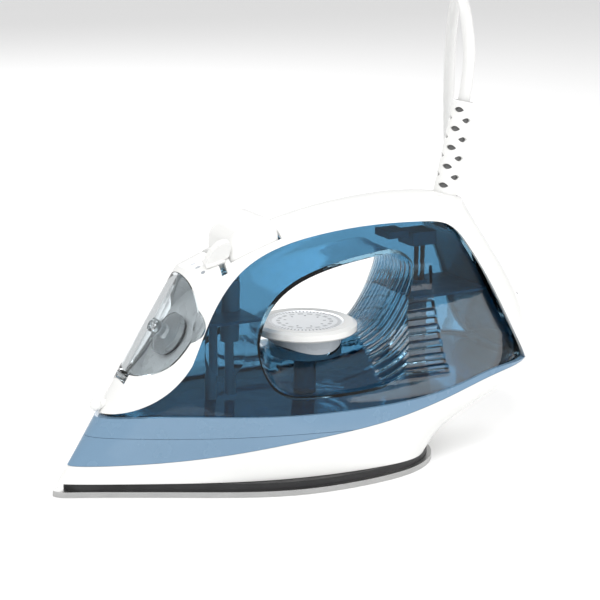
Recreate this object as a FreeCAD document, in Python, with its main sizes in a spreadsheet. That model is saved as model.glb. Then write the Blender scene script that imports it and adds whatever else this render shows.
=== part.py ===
"""Steam iron: a parametric assembly of separate pieces, in millimetres.

Frame: the soleplate's ironing face is z = 0, the nose points to -X, the heel to +X,
and the iron is symmetric about y = 0.  The origin is on the ironing face, 106 mm behind
the tip at the nominal length.
"""
import FreeCAD, Part
import Sketcher
import math
import os
import re
from FreeCAD import Placement, Rotation, Vector

os.makedirs("parts", exist_ok=True)
doc = FreeCAD.newDocument("steam_iron")

# ---------------------------------------------------------------- driving dimensions
SIZES = (
    ("body_length", 306.0, "tip of the soleplate to the back of the heel"),
    ("body_width", 125.0, "soleplate across its widest place"),
    ("body_height", 153.5, "ironing face to the top of the handle"),
    ("shell_wall", 2.2, "wall of the opaque shells"),
    ("tank_wall", 2.0, "wall of the clear tank"),
    ("seam_gap", 0.2, "parting line between two shells"),
    ("fit_gap", 0.4, "clearance between a shell and what slides or lies inside it"),
    ("shaft_gap", 0.08, "radial clearance of a shaft in its bearing"),
    ("tank_recess", 7.0, "how far the clear tank lies inside the outer skin"),
    ("sole_thickness", 3.3, "soleplate"),
    ("sole_hole_diameter", 2.6, "steam hole"),
    ("sole_hole_pitch", 11.0, "steam holes along the row"),
    ("sole_edge_fillet", 0.8, "rounding of the soleplate's lower edge"),
    ("shield_thickness", 4.0, "black heat shield ring"),
    ("shield_inset", 2.6, "heat shield inside the soleplate's edge"),
    ("shield_width", 7.0, "heat shield ring, outside to inside"),
    ("casting_inset", 13.0, "heater casting inside the soleplate's edge"),
    ("casting_thickness", 11.0, "heater casting"),
    ("element_diameter", 7.0, "tubular heating element"),
    ("cover_thickness", 1.2, "steam chamber cover"),
    ("base_plate_thickness", 2.0, "plate that carries the tank"),
    ("dial_radius", 30.0, "temperature dial"),
    ("dial_height", 5.6, "temperature dial, rim and bevel"),
    ("dial_rim_height", 4.2, "straight part of the dial's rim"),
    ("dial_bevel", 2.4, "width of the dial's bevel"),
    ("dial_cap_radius", 22.5, "silver insert on the dial"),
    ("dial_cap_thickness", 1.0, "silver insert on the dial"),
    ("dial_lift", 2.2, "gap under the dial"),
    ("collar_radius", 21.0, "collar under the dial"),
    ("collar_height", 11.0, "collar under the dial"),
    ("collar_wall", 2.0, "collar under the dial"),
    ("spindle_radius", 3.0, "dial spindle"),
    ("spindle_tube_radius", 6.5, "sealed tube round the spindle"),
    ("thermostat_radius", 9.0, "thermostat body"),
    ("thermostat_height", 9.0, "thermostat body"),
    ("button_width", 31.0, "spray button"),
    ("button_fillet", 4.2, "rounded upper edges of the spray button"),
    ("button_travel", 4.0, "stroke of the spray button"),
    ("pump_radius", 6.0, "spray pump cylinder"),
    ("pump_bore_radius", 4.0, "bore of the spray pump"),
    ("pump_length", 34.0, "spray pump cylinder"),
    ("rod_radius", 2.0, "pump plunger rod"),
    ("spring_radius", 5.0, "return spring, outside"),
    ("spring_wire", 0.8, "return spring wire"),
    ("suction_tube_radius", 3.0, "suction tube"),
    ("suction_tube_bore", 1.8, "suction tube, inside radius"),
    ("hose_radius", 2.0, "spray hose"),
    ("lever_thickness", 3.8, "fin of the steam lever"),
    ("lever_arm", 18.0, "pivot of the steam lever to the top of the shell"),
    ("lever_fin_height", 13.0, "fin of the steam lever above the shell"),
    ("lever_swing", 22.0, "degrees each way"),
    ("lever_slot_width", 3.6, "slot that the lever runs in"),
    ("needle_radius", 1.5, "steam valve needle"),
    ("guide_radius", 3.2, "guide tube of the steam needle"),
    ("nozzle_radius", 3.6, "ball of the spray nozzle"),
    ("nozzle_stem_radius", 2.6, "stem of the spray nozzle"),
    ("door_gap", 0.5, "clearance round the filling door"),
    ("door_pin_radius", 1.0, "hinge pin of the filling door"),
    ("stopper_radius", 12.5, "stopper under the filling door"),
    ("stopper_thickness", 3.0, "stopper under the filling door"),
    ("seal_radius", 1.2, "section of the filler seal"),
    ("throat_wall", 1.8, "filling throat"),
    ("bowl_wall", 1.4, "bowl behind the filling door"),
    ("sleeve_length", 52.0, "cord sleeve outside the handle"),
    ("sleeve_foot_radius", 7.0, "cord sleeve where it leaves the handle"),
    ("sleeve_tip_radius", 6.3, "cord sleeve at its free end"),
    ("sleeve_lean", 12.0, "degrees that the cord sleeve leans back"),
    ("swivel_radius", 9.0, "ball at the foot of the cord sleeve"),
    ("cord_diameter", 7.0, "mains cord"),
    ("cord_gap", 0.35, "clearance of the cord in its sleeve"),
    ("coil_mean_radius", 36.5, "put-away coil, middle of its turns"),
    ("coil_columns", 3.0, "turns side by side"),
    ("coil_layers", 2.0, "turns on top of each other"),
    ("plug_radius", 18.0, "plug body"),
    ("plug_length", 34.0, "plug body without its cord boot"),
    ("plug_boot_length", 22.0, "cord boot of the plug"),
    ("plug_boot_radius", 6.5, "cord boot where the cord enters"),
    ("pin_radius", 2.4, "plug pin"),
    ("pin_length", 19.0, "plug pin"),
    ("pin_spacing", 19.0, "plug pins, centre to centre"),
    ("screw_radius", 1.8, "self-tapping screw"),
    ("screw_head_radius", 3.4, "screw head"),
    ("screw_length", 14.0, "self-tapping screw"),
    ("wire_radius", 1.3, "insulated lead inside the handle"),
    ("duct_radius", 5.5, "sealed duct that takes the leads through the tank"),
)

sheet = doc.addObject("Spreadsheet::Sheet", "sizes")
for row, (alias, value, note) in enumerate(SIZES, start=1):
    sheet.set("A%d" % row, alias)
    sheet.set("B%d" % row, str(value))
    sheet.set("C%d" % row, note)
    sheet.setAlias("B%d" % row, alias)
doc.recompute()


def size(alias):
    """The value of one cell."""
    return float(sheet.get(alias))


def bound(text):
    """An expression on the sheet's aliases, as FreeCAD wants it written."""
    return re.sub(r"[a-z][a-z_]+", lambda found: "sizes." + found.group(0), text)


# ------------------------------------------------------------------ outline of the iron
NOMINAL_LENGTH = 306.0
NOMINAL_WIDTH = 125.0
NOMINAL_HEIGHT = 153.5
LENGTH_SCALE = size("body_length") / NOMINAL_LENGTH
WIDTH_SCALE = size("body_width") / NOMINAL_WIDTH
HEIGHT_SCALE = size("body_height") / NOMINAL_HEIGHT
NOSE_LEAN = 0.673                # run of the nose line for each mm of height
NOSE_FOOT = -103.8               # x of the nose line at the skirt's foot
SKIN_FOOT = 7.5                  # where the white skirt starts

# (x, z) points of the lines that part the shells, at the nominal size
SKIRT_TOP = ((-130, 16.7), (-99, 16.8), (-46, 19.8), (19, 27.8), (76, 33.0), (118, 41.0),
             (150, 48.0), (182, 50.0), (230, 50.0))
BAND_SEAM = ((-130, 32.4), (-45, 32.9), (20, 32.2), (60, 30.5), (110, 30.0), (230, 30.0))
LEDGE = ((-130, 42.0), (-84, 42.2), (-50, 45.0), (0, 43.5), (62, 41.4), (97, 42.6),
         (125, 46.4), (150, 51.2), (182, 50.6), (230, 50.4))
FRAME_EDGE = ((-78, 45.0), (-66.8, 47.4), (-52, 55.3), (-37.2, 70.4), (-17, 102.0),
              (0, 119.5), (20, 129.2), (48, 135.2), (87, 137.7), (116, 136.6),
              (134, 132.6), (146, 119.5), (160.5, 92.7), (173, 64.3), (182, 50.6))
OPENING = ((13, 83), (16.5, 94), (27, 104.5), (44, 112), (65, 116.5), (86, 119), (99, 118.5),
           (106, 112), (103.5, 101), (96, 88), (86, 76.5), (76, 71.5), (60, 70.5), (40, 70.5),
           (24, 71), (15.5, 75))
# how far each of those points lies further out at the side of the tank than in its middle
OPENING_FLARE = ((-9, -1), (-6, 1), (-3, 2), (-1, 2), (0, 2), (1, 2), (4, 2.5), (9, 2), (13, -1),
                 (14, -6), (11, -11), (6, -14), (0, -15.5), (-3, -15), (-7, -12), (-9, -6))
FLARE_START = 6.0                # half width of the part of the opening that doesn't flare
FLARE_REACH = 28.0               # further half width over which the flare grows to its full size
ROOF_LINE = ((-140, 116.5), (-36, 119.0), (-24, 122.0), (-10, 127.8), (14, 136.6),
             (40, 144.0), (66, 148.6), (98, 151.4), (126, 150.8), (146, 147.4), (158, 142.8),
             (175, 132.0), (240, 80.0))
HEEL_LINE = ((7.5, 120), (12, 124), (18, 131), (24, 142), (30, 157), (36, 173), (40, 187),
             (45, 195.5), (53, 200), (66, 198.5), (78, 194.5), (90, 188.5), (101, 181.5),
             (113, 173.5), (127, 163.5), (140, 155), (158, 144))
HALF_WIDTH = ((0, 61), (8, 60.5), (20, 59), (34, 56.5), (46, 53), (58, 48), (72, 42),
              (90, 34), (110, 27), (130, 22.5), (158, 20))
NOSE_RADIUS = ((8, 2), (24, 4), (40, 8), (60, 15), (80, 19), (125, 22))
NOSE_TAPER = ((8, 0.467), (24, 0.50), (40, 0.52), (80, 0.50), (125, 0.45))
HEEL_RADIUS = ((8, 76), (20, 60), (34, 44), (50, 34), (100, 24), (150, 14))
HEEL_TAPER = 0.35
CORNER_POWER = 5.0               # how squarely nose, side and heel blend
SKIN_LEVELS = (7.5, 10, 14, 19, 24, 29, 34, 39, 44, 50, 58, 68, 80, 92, 105, 118, 131, 144, 158)
SKIN_COLUMNS = 30                # places along each side of a level
DECK_HEIGHT = 70.5               # floor of the finger opening
TANK_LAP = 3.5                   # how far the tank reaches under frame and band


def fx(x):
    """A nominal x at the length asked for."""
    return x * LENGTH_SCALE


def fz(z):
    """A nominal z at the height asked for."""
    return z * HEIGHT_SCALE


def table(points, value):
    """Straight-line interpolation in a table of pairs."""
    if value <= points[0][0]:
        return points[0][1]
    for (low, first), (high, second) in zip(points, points[1:]):
        if value <= high:
            return first + (second - first) * (value - low) / (high - low)
    return points[-1][1]


def nose_x(z):
    """Nominal x of the straight nose line."""
    return NOSE_FOOT + NOSE_LEAN * (z - SKIN_FOOT)


def shrunk_heel_x(z, inset):
    """The heel line drawn in by a disc of the inset's radius."""
    steps = [k / 4.0 for k in range(-4, 5)]
    return min(table(HEEL_LINE, z + inset * k) - inset * math.sqrt(1 - k * k) for k in steps)


def round_end(depth, radius, taper):
    """Half width at a depth behind a rounded, tapering end."""
    depth = max(depth, 0.0)
    return math.sqrt(2 * radius * depth + (taper * depth) ** 2)


def recess_at(x, z, depth):
    """How far the clear tank lies inside the skin: most in the middle of the side."""
    rise = min(max((z - 43.0) / 17.0, 0.0), 1.0)
    fall = min(max((z - 88.0) / 30.0, 0.0), 1.0)
    ahead = min(max((x + 75.0) / 150.0, 0.0), 1.0)
    smooth_rise = rise * rise * (3 - 2 * rise)
    smooth_fall = 1 - 0.75 * fall * fall * (3 - 2 * fall)
    return depth * smooth_rise * smooth_fall * (0.35 + 0.65 * ahead)


def level_points(z, inset, recess):
    """One level of the skin, nominal z: poles from nose to heel along y < 0, then back."""
    front = nose_x(z) + 2.1 * inset
    back = shrunk_heel_x(z, inset) - 0.9 * inset
    side = []
    for k in range(1, SKIN_COLUMNS):
        x = front + (back - front) * (1 - math.cos(math.pi * (k - 0.5) / (SKIN_COLUMNS - 1))) / 2
        nose = round_end(x - front, table(NOSE_RADIUS, z), table(NOSE_TAPER, z))
        heel = round_end(back - x, table(HEEL_RADIUS, z), HEEL_TAPER)
        flank = table(HALF_WIDTH, z) - inset - recess_at(x, z, recess)
        blend = sum((part + 1e-3) ** -CORNER_POWER for part in (nose, flank, heel))
        side.append((x, blend ** (-1 / CORNER_POWER)))
    near = [Vector(fx(x), -y * WIDTH_SCALE, fz(z)) for x, y in side]
    far = [Vector(fx(x), y * WIDTH_SCALE, fz(z)) for x, y in reversed(side)]
    return near + far


def solid_of(faces):
    """Sews faces that share their borders into one solid."""
    sewn = Part.makeCompound(faces)
    sewn.sewShape()
    solid = Part.Solid(sewn.Shells[0])
    if solid.Volume < 0:
        solid.reverse()
    return solid


def largest(shape):
    """The largest solid of what a cut has left."""
    return max(shape.Solids, key=lambda solid: solid.Volume)


def clamped_knots(count):
    """Knots and multiplicities of a cubic row of poles that starts and ends on its poles."""
    knots = list(range(count - 2))
    mults = [4] + [1] * (count - 4) + [4]
    return knots, mults


def skin(inset, recess=0.0):
    """The iron's outer form as one smooth closed skin, drawn in by an inset."""
    levels = [level_points(z, inset, recess) for z in SKIN_LEVELS]
    around = len(levels[0])
    poles = [[level[k] for level in levels] for k in range(around)]
    level_knots, level_mults = clamped_knots(len(levels))
    surface = Part.BSplineSurface()
    surface.buildFromPolesMultsKnots(poles, [1] * (around + 1), level_mults,
                                     list(range(around + 1)), level_knots, True, False, 3, 3)
    last = level_knots[-1]
    caps = [Part.Face(Part.Wire([surface.vIso(v).toShape()])) for v in (0, last)]
    return solid_of([surface.toShape()] + caps)


ROOF_CROWN = ((0, 0), (7, 0.5), (13, 2.4), (17, 6.0), (19.6, 11.0), (21.3, 17.0), (23.5, 27.0),
              (28.5, 44.0), (38, 66.0), (52, 90.0), (80, 128.0))


def roof(drop):
    """Everything under the handle's crowned top: crown and roof line, lowered by drop."""
    stations = [-140, -100, -60, -36, -24, -10, 10, 35, 62, 95, 122, 140, 152, 164, 180, 210, 240]
    offsets = [-y for y, _ in reversed(ROOF_CROWN[1:])] + [y for y, _ in ROOF_CROWN]
    depths = [d for _, d in reversed(ROOF_CROWN[1:])] + [d for _, d in ROOF_CROWN]
    poles = []
    for x in stations:
        top = table(ROOF_LINE, x) - drop
        poles.append([Vector(fx(x), y * WIDTH_SCALE, fz(top - d)) for y, d in zip(offsets, depths)])
    rows, row_mults = clamped_knots(len(stations))
    columns, column_mults = clamped_knots(len(offsets))
    surface = Part.BSplineSurface()
    surface.buildFromPolesMultsKnots(poles, row_mults, column_mults, rows, columns,
                                     False, False, 3, 3)
    return surface.toShape().extrude(Vector(0, 0, -fz(320)))


def smooth(points):
    """A smooth edge through (x, z) points in the middle plane."""
    curve = Part.BSplineCurve()
    curve.interpolate([Vector(fx(x), 0, fz(z)) for x, z in points])
    return curve.toShape()


def straight(points):
    """Straight edges through (x, z) points in the middle plane."""
    places = [Vector(fx(x), 0, fz(z)) for x, z in points]
    return [Part.LineSegment(a, b).toShape() for a, b in zip(places, places[1:])]


REACH = 90.0                     # half width of a cutting prism, wider than the iron


def grown(points, amount):
    """A closed outline with each point moved out along its normal."""
    count = len(points)
    area = sum(points[k - 1][0] * points[k][1] - points[k][0] * points[k - 1][1]
               for k in range(count))
    sign = 1.0 if area > 0 else -1.0
    moved = []
    for k in range(count):
        before, after = points[k - 1], points[(k + 1) % count]
        along = (after[0] - before[0], after[1] - before[1])
        reach = sign * amount / math.hypot(*along)
        moved.append((points[k][0] + along[1] * reach, points[k][1] - along[0] * reach))
    return moved


def prism(edges):
    """A prism right across the iron over a closed outline in the middle plane."""
    face = Part.Face(Part.Wire(Part.__sortEdges__(edges)))
    face.translate(Vector(0, -REACH, 0))
    return face.extrude(Vector(0, 2 * REACH, 0))


def below(points, lift=0.0):
    """Everything under a parting line."""
    raised = [(x, z + lift) for x, z in points]
    first, last = raised[0], raised[-1]
    return prism([smooth(raised)] + straight([last, (last[0], -20), (first[0], -20), first]))


def below_frame(lift=0.0):
    """Everything under the white frame's inner edge."""
    curve = [(x, z + lift) for x, z in FRAME_EDGE]
    first, last = curve[0], curve[-1]
    rest = [last, (230, last[1]), (230, -20), (-130, -20), (-130, first[1]), first]
    return prism([smooth(curve)] + straight(rest))


def opening_section(y, grow):
    """The finger opening's outline at a distance from the middle plane."""
    share = max(abs(y) - FLARE_START, 0.0) / FLARE_REACH
    share = min(share * share, 1.3)
    outline = [(fx(x + share * dx), fz(z + share * dz))
               for (x, z), (dx, dz) in zip(OPENING, OPENING_FLARE)]
    curve = Part.BSplineCurve()
    curve.interpolate(Points=[Vector(x, y * WIDTH_SCALE, z) for x, z in grown(outline, grow)],
                      PeriodicFlag=True)
    return Part.Wire([curve.toShape()])


def opening_form(grow=0.0):
    """The finger opening, flared towards both sides, or the same grown all round."""
    stations = (-90, -46, -38, -30, -22, -14, -7, 0, 7, 14, 22, 30, 38, 46, 90)
    return Part.makeLoft([opening_section(y, grow) for y in stations], True, False)


# ----------------------------------------------------------------- making the sub-parts
def feature(label, shape):
    """A sub-part whose form is worked out above rather than sketched."""
    item = doc.addObject("Part::Feature", label)
    item.Label = label
    item.Shape = shape
    return item


def new_body(label, x=0.0, z=0.0, y=0.0, lean=0.0):
    """An empty body standing at a place, leaning back from upright by some degrees."""
    body = doc.addObject("PartDesign::Body", label)
    body.Label = label
    body.Placement = Placement(Vector(x, y, z), Rotation(Vector(0, 1, 0), lean))
    return body


def new_sketch(body, role, height="0"):
    """A sketch on one of the body's own planes, moved along its normal."""
    sketch = body.newObject("Sketcher::SketchObject", body.Label + "_sketch")
    plane = [item for item in body.Origin.OriginFeatures if item.Role == role][0]
    sketch.AttachmentSupport = [(plane, "")]
    sketch.MapMode = "FlatFace"
    sketch.setExpression("AttachmentOffset.Base.z", bound(height))
    return sketch


def hold(sketch, kind, corner, text):
    """Ties one coordinate of a sketched corner to an expression on the sheet."""
    if text == "0":
        axis = -2 if kind == "DistanceX" else -1
        sketch.addConstraint(Sketcher.Constraint("PointOnObject", corner, 1, axis))
        return
    row = sketch.addConstraint(Sketcher.Constraint(kind, -1, 1, corner, 1, 1.0 + corner))
    sketch.setExpression("Constraints[%d]" % row, bound(text))


def draw_outline(sketch, corners):
    """A closed outline through corners whose coordinates are expressions."""
    count = len(corners)
    ring = [Vector(10 + 5 * math.cos(6.28 * k / count), 5 * math.sin(6.28 * k / count), 0)
            for k in range(count)]
    for k in range(count):
        sketch.addGeometry(Part.LineSegment(ring[k], ring[(k + 1) % count]))
    for k in range(count):
        sketch.addConstraint(Sketcher.Constraint("Coincident", k, 2, (k + 1) % count, 1))
    for k, (across, up) in enumerate(corners):
        hold(sketch, "DistanceX", k, across)
        hold(sketch, "DistanceY", k, up)


def turned(label, profile, x=0.0, z=0.0, y=0.0, lean=0.0):
    """A turned piece: a (radius, height) profile revolved round the body's own z axis."""
    body = new_body(label, x, z, y, lean)
    sketch = new_sketch(body, "XZ_Plane")
    draw_outline(sketch, profile)
    turn = body.newObject("PartDesign::Revolution", label + "_turn")
    turn.Profile = sketch
    turn.ReferenceAxis = (sketch, ["V_Axis"])
    turn.Angle = 360
    return body


def rod_profile(radius, low, high):
    """Profile of a plain rod."""
    return (("0", low), (radius, low), (radius, high), ("0", high))


def cylinder(radius, x, y, low, high):
    """An upright cutting cylinder."""
    return Part.makeCylinder(radius, high - low, Vector(x, y, low))


def tube_along(points, radius):
    """A round tube along straight runs joined by tangent arcs; prints its tightest bend."""
    places = [Vector(*point) for point in points]
    edges = []
    start = places[0]
    tightest = 1e9
    for before, corner, after in zip(places, places[1:], places[2:]):
        back = before - corner
        ahead = after - corner
        run = 0.45 * min(back.Length, ahead.Length)
        turn = math.pi - back.getAngle(ahead)
        tightest = min(tightest, run / math.tan(turn / 2))
        back.normalize()
        ahead.normalize()
        enter = corner + back * run
        leave = corner + ahead * run
        radius_here = run / math.tan(turn / 2)
        centre = corner + (back + ahead).normalize() * (radius_here / math.cos(turn / 2))
        middle = centre + (corner - centre).normalize() * radius_here
        edges.append(Part.LineSegment(start, enter).toShape())
        edges.append(Part.Arc(enter, middle, leave).toShape())
        start = leave
    edges.append(Part.LineSegment(start, places[-1]).toShape())
    path = Part.Wire(edges)
    circle = Part.makeCircle(radius, places[0], places[1] - places[0])
    tube = path.makePipeShell([Part.Wire([circle])], True, True)
    return tube, path.Length, tightest


# ------------------------------------------------------------------------- soleplate
SOLE_SIDE = ((-103.4, 3.8), (-97, 7.4), (-80, 15.6), (-60, 25.8), (-40, 36.2), (-20, 46.4),
             (0, 55), (20, 60.4), (45, 62.5), (70, 61.0), (92, 55.6), (108, 45.5), (119, 30),
             (123.2, 13))
SOLE_TIP = -106.0
TIP_HALF_WIDTH = 3.0             # an outline drawn in is cut off where it gets this narrow
TIP_REACH = 0.68                 # its tip beyond that, as a share of its half width there
SHIELD_FLOOR = size("sole_thickness")
SHIELD_TOP = SHIELD_FLOOR + size("shield_thickness")
CASTING_TOP = SHIELD_FLOOR + size("casting_thickness")
COVER_FLOOR = CASTING_TOP + 5.0
COVER_TOP = COVER_FLOOR + size("cover_thickness")
BASE_PLATE_FLOOR = fz(31.0)
BASE_PLATE_TOP = BASE_PLATE_FLOOR + size("base_plate_thickness")


def sole_curve(inset=0.0):
    """The soleplate's outline, or the same drawn in: closed, smooth, symmetric about y = 0."""
    side = [(fx(x), -y * WIDTH_SCALE) for x, y in SOLE_SIDE]
    far = [(x, -y) for x, y in reversed(side)]
    near = grown([(fx(SOLE_TIP), 0)] + side + far, -inset)[1:len(side) + 1]
    near = [(x, y) for x, y in near if y < -TIP_HALF_WIDTH * WIDTH_SCALE]
    tip = near[0][0] + TIP_REACH * near[0][1]
    outline = [(tip, 0)] + near + [(x, -y) for x, y in reversed(near)]
    curve = Part.BSplineCurve()
    curve.interpolate(Points=[Vector(x, y, 0) for x, y in outline], PeriodicFlag=True)
    return curve


def sole_half_width(x):
    """Half width of the soleplate at a nominal x."""
    return table(((SOLE_TIP, 0),) + SOLE_SIDE, x) * WIDTH_SCALE


def sole_plate(inset, low, high):
    """A flat plate with the soleplate's outline drawn in by an inset."""
    face = Part.Face(Part.Wire([sole_curve(inset).toShape()]))
    face.translate(Vector(0, 0, low))
    return face.extrude(Vector(0, 0, high - low))


def make_soleplate():
    """Ironing plate with steam holes along both edges and round the tip."""
    body = new_body("soleplate")
    sketch = new_sketch(body, "XY_Plane")
    sketch.addGeometry(sole_curve())
    pad = body.newObject("PartDesign::Pad", "soleplate_pad")
    pad.Profile = sketch
    pad.setExpression("Length", bound("sole_thickness"))
    doc.recompute()
    holes = new_sketch(body, "XY_Plane")
    pitch = size("sole_hole_pitch")
    first = None
    for row_inset, start in ((11.0, -84.0), (22.0, -58.0)):
        for k in range(11):
            x = start + k * pitch
            for side in (-1, 1):
                place = Vector(fx(x), side * (sole_half_width(x) - row_inset * WIDTH_SCALE), 0)
                if abs(place.y) < 4:
                    continue
                hole = holes.addGeometry(Part.Circle(place, Vector(0, 0, 1), 1.3))
                if first is None:
                    first = hole
                    row = holes.addConstraint(Sketcher.Constraint("Radius", hole, 1.3))
                    holes.setExpression("Constraints[%d]" % row, bound("sole_hole_diameter / 2"))
                else:
                    holes.addConstraint(Sketcher.Constraint("Equal", first, hole))
    pocket = body.newObject("PartDesign::Pocket", "soleplate_holes")
    pocket.Profile = holes
    pocket.Type = "ThroughAll"
    pocket.Reversed = True
    doc.recompute()
    return body


def make_heater():
    """Heat shield ring, aluminium casting, tubular element and steam chamber cover."""
    ring = sole_plate(size("shield_inset"), SHIELD_FLOOR, SHIELD_TOP)
    ring = ring.cut(sole_plate(size("shield_inset") + size("shield_width"), 0, SHIELD_TOP + 1))
    feature("heat_shield", ring)
    radius = size("element_diameter") / 2
    level = CASTING_TOP
    route = [(fx(98), -26, level), (fx(55), -33, level), (fx(5), -29, level),
             (fx(-38), -15, level), (fx(-52), 0, level), (fx(-38), 15, level),
             (fx(5), 29, level), (fx(55), 33, level), (fx(98), 26, level)]
    route = [(x, y * WIDTH_SCALE, z) for x, y, z in route]
    element, _, _ = tube_along(route, radius)
    groove, _, _ = tube_along(route, radius + 0.1)
    casting = sole_plate(size("casting_inset"), SHIELD_FLOOR, CASTING_TOP).cut(groove)
    feature("heater_casting", casting)
    feature("heating_element", element)
    cover = sole_plate(size("casting_inset") + 2, COVER_FLOOR, COVER_TOP)
    feature("steam_chamber_cover", cover)


# ------------------------------------------------------------------- shells and the tank
SHELL = size("shell_wall")
TANK_INSET = SHELL + 0.5
DIAL_X = fx(51.0)
PUMP_X = fx(3.0)
LEVER_X = fx(-9.5)
NEEDLE_X = LEVER_X
WIRE_X = fx(126.0)
DECK = fz(DECK_HEIGHT)
BAFFLE_FLOOR = fz(91.5)


def window_frame():
    """Foot of the window on the nose line, the direction up the nose and the inward normal."""
    angle = math.atan2(LENGTH_SCALE * NOSE_LEAN, HEIGHT_SCALE)
    up = Vector(math.sin(angle), 0, math.cos(angle))
    inward = Vector(math.cos(angle), 0, -math.sin(angle))
    foot = Vector(fx(nose_x(66.2)), 0, fz(66.2))
    return foot, up, inward


WINDOW_EDGE = ((0.0, 4.0), (1.3, 9.6), (5.5, 16.5), (10.4, 20.6), (16.5, 23.6), (23.5, 25.2),
               (32.4, 25.9), (40.8, 25.2), (48.0, 23.0), (54.0, 19.4), (59.5, 13.8), (62.6, 5.0))
WINDOW_DEPTH = 26.0              # how deep behind the nose line the window's side reaches


def window_prism(shrink, low=-12.0, high=WINDOW_DEPTH):
    """A prism through the window's outline, square to the nose line."""
    foot, up, inward = window_frame()
    side = [(s * HEIGHT_SCALE, y * WIDTH_SCALE) for s, y in WINDOW_EDGE]
    outline = grown(side + [(s, -y) for s, y in reversed(side)], -shrink)
    curve = Part.BSplineCurve()
    curve.interpolate(Points=[foot + up * s + Vector(0, y, 0) for s, y in outline],
                      PeriodicFlag=True)
    face = Part.Face(Part.Wire([curve.toShape()]))
    face.translate(inward * low)
    return face.extrude(inward * (high - low))


def place_on_window(s, depth):
    """A point in the middle plane, s up the nose from the window's foot."""
    foot, up, inward = window_frame()
    return foot + up * (s * HEIGHT_SCALE) + inward * depth


STOPPER_S = 31.0
STOPPER_DEPTH = 12.0
HINGE_S = -1.5
HINGE_DEPTH = 3.2
HINGE_EYE_RADIUS = 2.9
HINGE_EYE_HALF = 5.0
HINGE_PIN_HALF = 8.6
NOZZLE_Z = 49.3
BOWL_FLOOR = (STOPPER_DEPTH + size("stopper_thickness") + 2 * size("seal_radius") + 0.3)


def cross_cylinder(radius, middle, half):
    """A cylinder across the iron, half its length either side of the middle plane."""
    return Part.makeCylinder(radius, 2 * half, middle - Vector(0, half, 0), Vector(0, 1, 0))


def inward_cylinder(radius, start, length):
    """A cutting cylinder square to the window."""
    _, _, inward = window_frame()
    return Part.makeCylinder(radius, length, start, inward)


BUTTON_TOP = ((-4, 119), (-4.3, 128), (-3.4, 136.5), (2, 142.4), (7, 145.6), (13, 147.6),
              (18, 147.3), (22.6, 144.6), (25.6, 139.6), (26.8, 131))


def button_form():
    """The spray button: a block that stands out of the handle's crown."""
    edges = [smooth(BUTTON_TOP)] + straight((BUTTON_TOP[-1], BUTTON_TOP[0]))
    face = Part.Face(Part.Wire(Part.__sortEdges__(edges)))
    half = size("button_width") / 2
    face.translate(Vector(0, -half, 0))
    block = face.extrude(Vector(0, 2 * half, 0))
    rims = [edge for edge in block.Edges
            if abs(abs(edge.CenterOfMass.y) - half) < 0.01 and edge.Curve.TypeId
            == "Part::GeomBSplineCurve"]
    return block.makeFillet(size("button_fillet"), rims)


def button_well():
    """The slot that the spray button slides in."""
    places = [place.x for place in smooth(BUTTON_TOP).discretize(80)]
    gap = size("fit_gap")
    low, high = min(places) - gap, max(places) + gap
    half = size("button_width") / 2 + gap
    return Part.makeBox(high - low, 2 * half, 60, Vector(low, -half, fz(112)))


def nozzle_bore():
    """The bore through the nose for the stem of the spray nozzle."""
    return Part.makeCylinder(size("nozzle_stem_radius") + 0.1, fx(40),
                             Vector(fx(-95), 0, fz(NOZZLE_Z)), Vector(1, 0, 0))


def lever_slot():
    """The slot across the crown that the steam lever runs in."""
    width = size("lever_slot_width")
    reach = LEVER_REACH + 2.6
    return Part.makeBox(width, 2 * reach, 30, Vector(LEVER_X - width / 2, -reach, fz(112)))


LEVER_TILT = 26.0                # degrees that the lever stands over to the near side
LEVER_PIVOT_DROP = 26.0          # pivot below the top of the crown
LEVER_FORWARD = 10.0             # range towards the near side
LEVER_BACK = 62.0                # range towards the far side
LEVER_PIVOT_Z = fz(128.0) - LEVER_PIVOT_DROP
LEVER_REACH = (LEVER_PIVOT_DROP + 1) * math.sin(math.radians(LEVER_TILT + LEVER_FORWARD))


def make_shells():
    """Opaque shells, all cut from the same outer form; gives their inside and the door."""
    outer = skin(0.0).common(roof(0.0))
    inner = skin(SHELL).common(roof(SHELL))
    wall = outer.cut(inner)
    gap = size("seam_gap")
    feature("skirt", wall.common(below(SKIRT_TOP)))
    band = wall.common(below(BAND_SEAM)).cut(below(SKIRT_TOP, gap))
    band = largest(band)
    feature("lower_band", band)
    upper = wall.common(below(LEDGE)).cut(below(BAND_SEAM, gap)).cut(below(SKIRT_TOP, gap))
    upper = largest(upper)
    feature("upper_band", upper)
    frame = wall.cut(below_frame())
    door_skin = frame.common(window_prism(size("door_gap")))
    frame = frame.cut(window_prism(0))
    frame = frame.cut(button_well()).cut(lever_slot())
    cover_box = rear_cover_box(0)
    rear = frame.common(cover_box)
    frame = frame.cut(rear_cover_box(gap))
    frame = frame.cut(swivel_bore(size("sleeve_foot_radius") + size("fit_gap") + 0.4))
    frame = frame.cut(nozzle_bore())
    hinge = place_on_window(HINGE_S, HINGE_DEPTH)
    frame = frame.cut(cross_cylinder(HINGE_DEPTH + 0.9, hinge, HINGE_EYE_HALF + 2.0))
    frame = frame.cut(cross_cylinder(size("door_pin_radius"), hinge, HINGE_PIN_HALF))
    frame = largest(frame)
    feature("handle_shell", frame)
    start, direction = cover_screw_axis()
    rear = largest(rear)
    rear = rear.cut(Part.makeCylinder(size("screw_radius") + 0.2, 20, start - direction * 10,
                                      direction))
    rear = rear.cut(Part.makeCylinder(size("screw_head_radius") + 0.2, 10,
                                      start - direction * 10, direction))
    feature("rear_cover", rear)
    return inner, largest(door_skin)


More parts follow.
